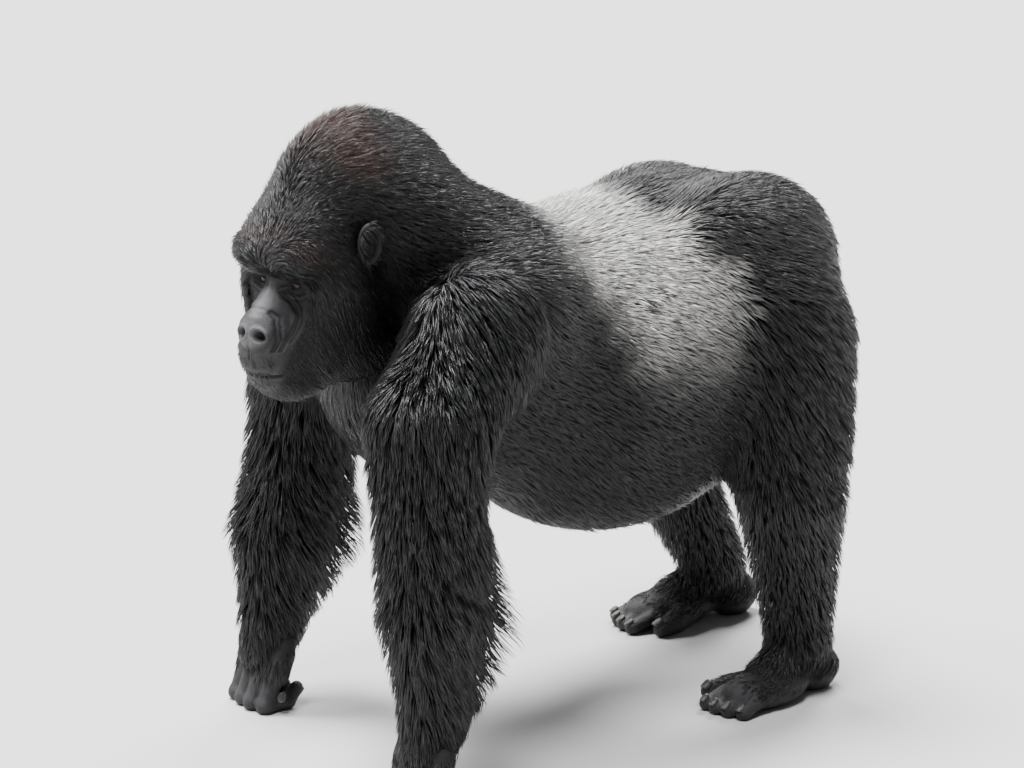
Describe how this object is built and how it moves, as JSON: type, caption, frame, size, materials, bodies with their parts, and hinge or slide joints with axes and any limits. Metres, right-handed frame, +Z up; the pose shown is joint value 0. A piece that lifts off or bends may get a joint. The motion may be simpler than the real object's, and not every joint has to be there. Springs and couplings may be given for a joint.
{
  "type": "gorilla model",
  "caption": "Life-size museum-style model of an adult male silverback mountain gorilla standing still on all fours, on its feet and the backs of its fingers, head turned a little to the left.",
  "frame": {"origin": "on the floor, under the middle of the box round the whole animal", "axes": "+Z is up, the animal faces -Y, and its left side is at +X"},
  "size_m": [0.7404, 1.1854, 1.0435],
  "materials": {
    "black_fur": "matte",
    "silver_fur": "matte",
    "bare_skin": "satin",
    "eye": "gloss"
  },
  "bodies": {
    "root": {"belly": "silver_fur", "chest": "black_fur", "ear_left": "bare_skin", "ear_right": "bare_skin", "eye_left": "eye", "eye_right": "eye", "foot_left": "bare_skin", "foot_right": "bare_skin", "forearm_left": "black_fur", "forearm_right": "black_fur", "hand_left": "bare_skin", "hand_right": "bare_skin", "head": "black_fur", "neck": "black_fur", "rump": "black_fur", "shank_left": "black_fur", "shank_right": "black_fur", "thigh_left": "black_fur", "thigh_right": "black_fur", "upper_arm_left": "black_fur", "upper_arm_right": "black_fur"}
  },
  "joints": []
}
